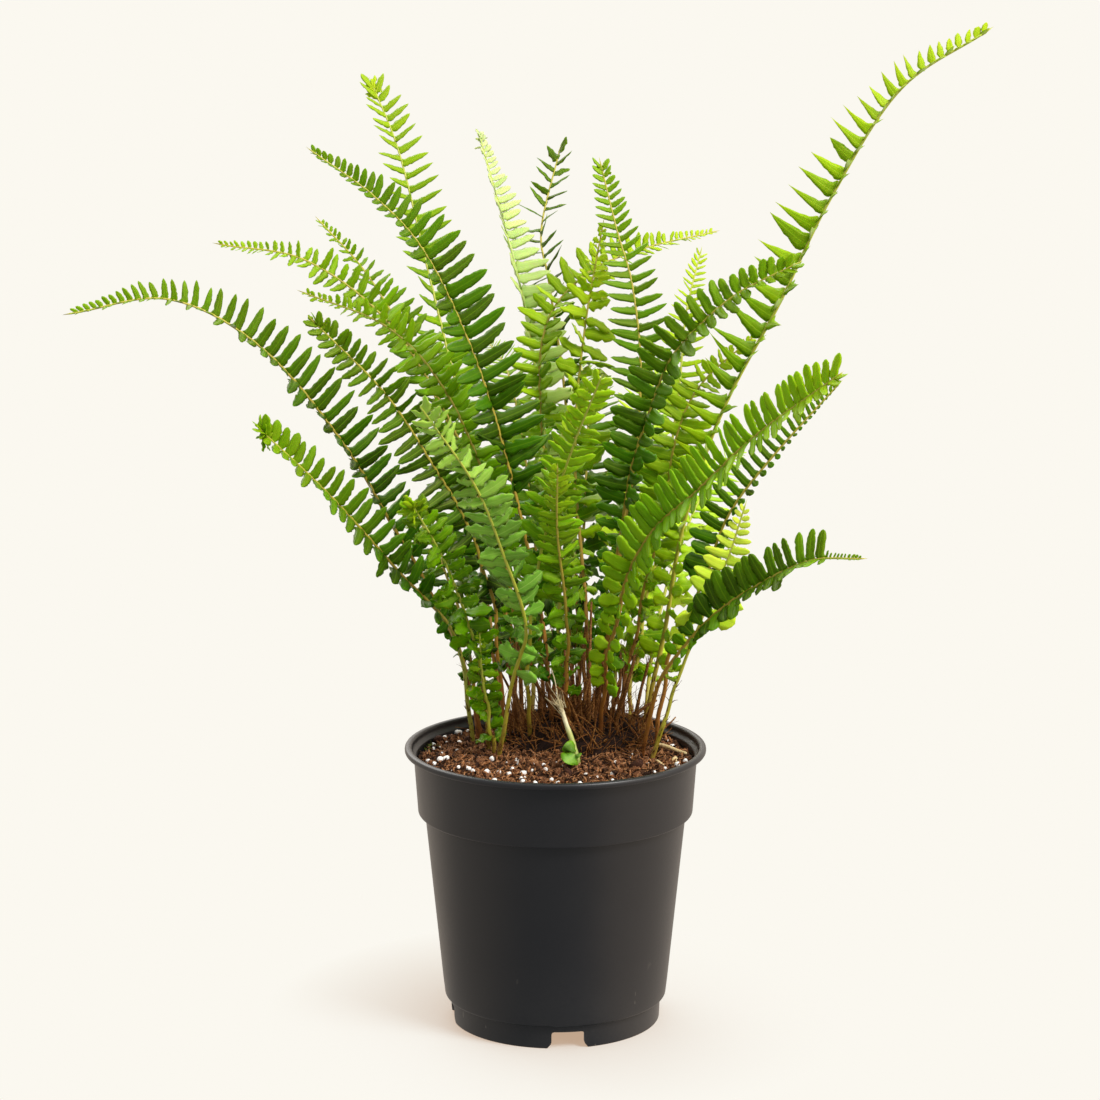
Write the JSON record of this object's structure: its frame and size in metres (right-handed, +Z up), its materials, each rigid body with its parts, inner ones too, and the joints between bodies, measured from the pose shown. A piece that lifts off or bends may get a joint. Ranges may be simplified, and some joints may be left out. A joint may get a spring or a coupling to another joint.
{
  "type": "potted boston fern",
  "caption": "Upright fern with long arching feathered fronds, rooted in dark soil in a black tapered nursery pot with a lip, a deep band and a notched foot.",
  "frame": {"origin": "on the ground under the pot's centre, at the underside of its middle post", "axes": "+Z up along the pot's axis, -Y to the front that the picture shows, +X to the right"},
  "size_m": [0.454, 0.4015, 0.5022],
  "materials": {
    "pot": "satin",
    "soil": "matte",
    "crown": "matte",
    "leaf_deep": "satin",
    "leaf_mid": "satin",
    "leaf_young": "satin",
    "leaf_pale": "satin",
    "stalk_old": "matte",
    "stalk_pale": "matte"
  },
  "bodies": {
    "root": {"pot": "pot", "soil": "soil", "crown": "crown", "frond_far_left_arch": "leaf_deep", "frond_low_left": "leaf_young", "frond_left_high": "leaf_mid", "frond_left_hooked": "leaf_mid", "frond_tall_left": "leaf_deep", "frond_tall_left_back": "leaf_young", "frond_left_middle": "leaf_mid", "frond_left_dark": "leaf_deep", "frond_pale_back": "leaf_pale", "frond_narrow_back": "leaf_deep", "frond_tall_middle": "leaf_mid", "frond_back_arch": "leaf_young", "frond_middle_back": "leaf_mid", "frond_right_back": "leaf_young", "frond_far_right_tall": "leaf_mid", "frond_right_arch": "leaf_deep", "frond_right_middle": "leaf_mid", "frond_right_front": "leaf_mid", "frond_right_dark": "leaf_deep", "frond_low_right": "leaf_deep", "frond_pale_right": "leaf_pale", "frond_centre_front": "leaf_young", "frond_centre_small": "leaf_mid", "frond_left_front": "leaf_mid", "frond_young_left": "leaf_mid", "frond_sprout_left": "leaf_mid", "frond_rear_left": "leaf_deep", "frond_rear_middle_left": "leaf_mid", "frond_rear_middle": "leaf_deep", "frond_rear_middle_right": "leaf_mid", "frond_rear_right": "leaf_mid", "frond_rear_low_left": "leaf_deep", "stalk_old_front": "stalk_old", "stalk_old_right": "stalk_old", "stalk_old_far_right": "stalk_old", "stalk_old_middle": "stalk_old", "stalk_old_left": "stalk_old", "stalk_old_back": "stalk_old", "stalk_broken_pale": "stalk_pale"}
  },
  "joints": []
}
